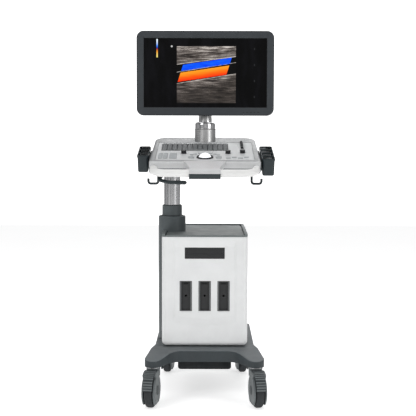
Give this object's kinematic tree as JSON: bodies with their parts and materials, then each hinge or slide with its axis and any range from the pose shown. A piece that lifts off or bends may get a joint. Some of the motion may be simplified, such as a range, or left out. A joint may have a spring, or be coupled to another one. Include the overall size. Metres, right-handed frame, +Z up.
{
  "type": "ultrasound machine",
  "caption": "Mobile ultrasound scanner: monitor on a lifting column over a tilted control panel, with a trunk of probe sockets on a four-caster base.",
  "frame": {"origin": "on the floor, at the middle of the overall width and depth", "axes": "+Z up, -Y towards the user (the screen and the sockets face -Y), +X to the user's right"},
  "size_m": [0.524, 0.6962, 1.37],
  "materials": {
    "white_shell": "satin moulded white",
    "warm_white": "fine matt white",
    "grey_shell": "satin mid grey",
    "silver_paint": "metallic silver paint over plastic",
    "slate_plastic": "matt dark slate",
    "black_plastic": "matt black",
    "blue_black": "satin blue-black",
    "key_grey": "matt dark grey",
    "key_light": "matt light grey",
    "ball_white": "polished",
    "chrome": "polished",
    "steel": "brushed",
    "zinc_sheet": "zinc-plated sheet",
    "board": "green board",
    "screen_glass": "anti-glare display",
    "caster_grey": "satin grey",
    "tyre": "dull"
  },
  "bodies": {
    "base": {"base_shell": "grey_shell", "battery_box": "black_plastic", "caster_stems": "steel", "trunk_front_panel": "white_shell", "trunk_side_covers": "white_shell", "trunk_rear_cover": "white_shell", "trunk_top_tray": "grey_shell", "trunk_chassis": "zinc_sheet", "circuit_boards": "board", "power_supply": "zinc_sheet", "optical_drive": "black_plastic", "probe_sockets": "slate_plastic", "socket_bezels": "grey_shell", "power_inlet": "black_plastic", "column_housing": "grey_shell", "column_collar": "grey_shell", "gas_spring_cylinder": "steel"},
    "lift": {"lift_tube": "chrome", "gas_spring_rod": "chrome", "lift_head": "steel"},
    "panel": {"panel_lower_housing": "slate_plastic", "panel_frame": "silver_paint", "key_deck": "warm_white", "trackball_ring": "black_plastic", "handle_tube": "white_shell", "handle_saddle": "silver_paint", "holder_cups_left": "slate_plastic", "holder_cups_right": "slate_plastic", "cable_hooks": "slate_plastic", "monitor_post": "silver_paint"},
    "keyboard": {"keyboard_keys": "key_grey"},
    "function_pad": {"function_keys": "key_light"},
    "set_pair": {"set_keys": "key_light"},
    "gain_sliders": {"tgc_sliders": "key_grey"},
    "knob_left": {"encoder_left": "black_plastic"},
    "knob_right": {"encoder_right": "black_plastic"},
    "knob_gain": {"encoder_gain": "black_plastic"},
    "ball": {"trackball": "ball_white"},
    "release_lever": {"lift_lever": "slate_plastic"},
    "monitor_arm": {"monitor_neck": "silver_paint"},
    "monitor": {"tilt_bracket": "steel", "monitor_bezel": "blue_black", "monitor_rear_cover": "blue_black", "screen": "screen_glass"},
    "disc_drawer": {"disc_tray": "black_plastic"},
    "eject": {"eject_button": "black_plastic"},
    "power_rocker": {"mains_switch": "black_plastic"},
    "fan_rotor": {"cooling_fan": "black_plastic"},
    "caster_front_left": {"caster_fork_front_left": "caster_grey"},
    "wheel_front_left": {"caster_wheel_front_left": "tyre"},
    "pedal_front_left": {"brake_pedal_front_left": "black_plastic"},
    "caster_front_right": {"caster_fork_front_right": "caster_grey"},
    "wheel_front_right": {"caster_wheel_front_right": "tyre"},
    "pedal_front_right": {"brake_pedal_front_right": "black_plastic"},
    "caster_rear_left": {"caster_fork_rear_left": "caster_grey"},
    "wheel_rear_left": {"caster_wheel_rear_left": "tyre"},
    "pedal_rear_left": {"brake_pedal_rear_left": "black_plastic"},
    "caster_rear_right": {"caster_fork_rear_right": "caster_grey"},
    "wheel_rear_right": {"caster_wheel_rear_right": "tyre"},
    "pedal_rear_right": {"brake_pedal_rear_right": "black_plastic"}
  },
  "joints": [
    {"name": "column_lift", "type": "slide", "parent": "base", "child": "lift", "axis": [0, 0, 1], "range_m": [-0.08, 0.15]},
    {"name": "panel_swivel", "type": "hinge", "parent": "lift", "child": "panel", "pos_m": [-0.127, 0.03725, 0.85], "axis": [0, 0, 1], "range_deg": [-30, 30]},
    {"name": "monitor_swivel", "type": "hinge", "parent": "panel", "child": "monitor_arm", "pos_m": [0, 0.08525, 0.99], "axis": [0, 0, 1], "range_deg": [-45, 45]},
    {"name": "monitor_tilt", "type": "hinge", "parent": "monitor_arm", "child": "monitor", "pos_m": [0, 0.08525, 1.19], "axis": [-1, 0, 0], "range_deg": [-5, 25]},
    {"name": "keyboard_press", "type": "slide", "parent": "panel", "child": "keyboard", "axis": [0, 0.2113, -0.9774], "range_m": [0, 0.002], "stiffness_N_per_m": 1500, "springref_m": -0.003},
    {"name": "function_press", "type": "slide", "parent": "panel", "child": "function_pad", "axis": [0, 0.2113, -0.9774], "range_m": [0, 0.0015], "stiffness_N_per_m": 800, "springref_m": -0.002},
    {"name": "set_press", "type": "slide", "parent": "panel", "child": "set_pair", "axis": [0, 0.2113, -0.9774], "range_m": [0, 0.0015], "stiffness_N_per_m": 500, "springref_m": -0.002},
    {"name": "gain_slide", "type": "slide", "parent": "panel", "child": "gain_sliders", "axis": [1, 0, 0], "range_m": [-0.009, 0.009]},
    {"name": "knob_left_turn", "type": "hinge", "parent": "panel", "child": "knob_left", "pos_m": [-0.078, -0.13341, 0.90718], "axis": [0, -0.2113, 0.9774], "continuous": true},
    {"name": "knob_right_turn", "type": "hinge", "parent": "panel", "child": "knob_right", "pos_m": [0.0845, -0.13244, 0.90739], "axis": [0, -0.2113, 0.9774], "continuous": true},
    {"name": "knob_gain_turn", "type": "hinge", "parent": "panel", "child": "knob_gain", "pos_m": [0.138, -0.12462, 0.90908], "axis": [0, -0.2113, 0.9774], "continuous": true},
    {"name": "ball_roll", "type": "hinge", "parent": "panel", "child": "ball", "pos_m": [0, -0.1933, 0.88605], "axis": [1, 0, 0], "continuous": true},
    {"name": "lever_lift", "type": "hinge", "parent": "panel", "child": "release_lever", "pos_m": [-0.108, -0.16675, 0.829], "axis": [-1, 0, 0], "range_deg": [0, 7], "stiffness_Nm_per_rad": 1, "springref_deg": -11.46},
    {"name": "disc_tray_slide", "type": "slide", "parent": "base", "child": "disc_drawer", "axis": [0, -1, 0], "range_m": [0, 0.13]},
    {"name": "eject_press", "type": "slide", "parent": "base", "child": "eject", "axis": [0, 1, 0], "range_m": [0, 0.0012], "stiffness_N_per_m": 300, "springref_m": -0.001},
    {"name": "mains_rock", "type": "hinge", "parent": "base", "child": "power_rocker", "pos_m": [0.105, 0.29025, 0.265], "axis": [-1, 0, 0], "range_deg": [0, 16]},
    {"name": "fan_spin", "type": "hinge", "parent": "base", "child": "fan_rotor", "pos_m": [0.02, 0.25125, 0.45], "axis": [0, 1, 0], "continuous": true},
    {"name": "swivel_front_left", "type": "hinge", "parent": "base", "child": "caster_front_left", "pos_m": [-0.185, -0.24075, 0.137], "axis": [0, 0, 1], "continuous": true},
    {"name": "wheel_turn_front_left", "type": "hinge", "parent": "caster_front_left", "child": "wheel_front_left", "pos_m": [-0.19095, -0.27828, 0.0625], "axis": [0.9877, -0.1564, 0], "continuous": true},
    {"name": "pedal_flip_front_left", "type": "hinge", "parent": "caster_front_left", "child": "pedal_front_left", "pos_m": [-0.19926, -0.33082, 0.10406], "axis": [-0.9877, 0.1564, 0], "range_deg": [0, 18]},
    {"name": "swivel_front_right", "type": "hinge", "parent": "base", "child": "caster_front_right", "pos_m": [0.185, -0.24075, 0.137], "axis": [0, 0, 1], "continuous": true},
    {"name": "wheel_turn_front_right", "type": "hinge", "parent": "caster_front_right", "child": "wheel_front_right", "pos_m": [0.19095, -0.27828, 0.0625], "axis": [0.9877, 0.1564, 0], "continuous": true},
    {"name": "pedal_flip_front_right", "type": "hinge", "parent": "caster_front_right", "child": "pedal_front_right", "pos_m": [0.19926, -0.33082, 0.10406], "axis": [-0.9877, -0.1564, 0], "range_deg": [0, 18]},
    {"name": "swivel_rear_left", "type": "hinge", "parent": "base", "child": "caster_rear_left", "pos_m": [-0.15, 0.29125, 0.137], "axis": [0, 0, 1], "continuous": true},
    {"name": "wheel_turn_rear_left", "type": "hinge", "parent": "caster_rear_left", "child": "wheel_rear_left", "pos_m": [-0.15331, 0.25339, 0.0625], "axis": [0.9962, -0.0872, 0], "continuous": true},
    {"name": "pedal_flip_rear_left", "type": "hinge", "parent": "caster_rear_left", "child": "pedal_rear_left", "pos_m": [-0.15795, 0.20041, 0.10406], "axis": [-0.9962, 0.0872, 0], "range_deg": [0, 18]},
    {"name": "swivel_rear_right", "type": "hinge", "parent": "base", "child": "caster_rear_right", "pos_m": [0.15, 0.29125, 0.137], "axis": [0, 0, 1], "continuous": true},
    {"name": "wheel_turn_rear_right", "type": "hinge", "parent": "caster_rear_right", "child": "wheel_rear_right", "pos_m": [0.15331, 0.25339, 0.0625], "axis": [0.9962, 0.0872, 0], "continuous": true},
    {"name": "pedal_flip_rear_right", "type": "hinge", "parent": "caster_rear_right", "child": "pedal_rear_right", "pos_m": [0.15795, 0.20041, 0.10406], "axis": [-0.9962, -0.0872, 0], "range_deg": [0, 18]}
  ]
}
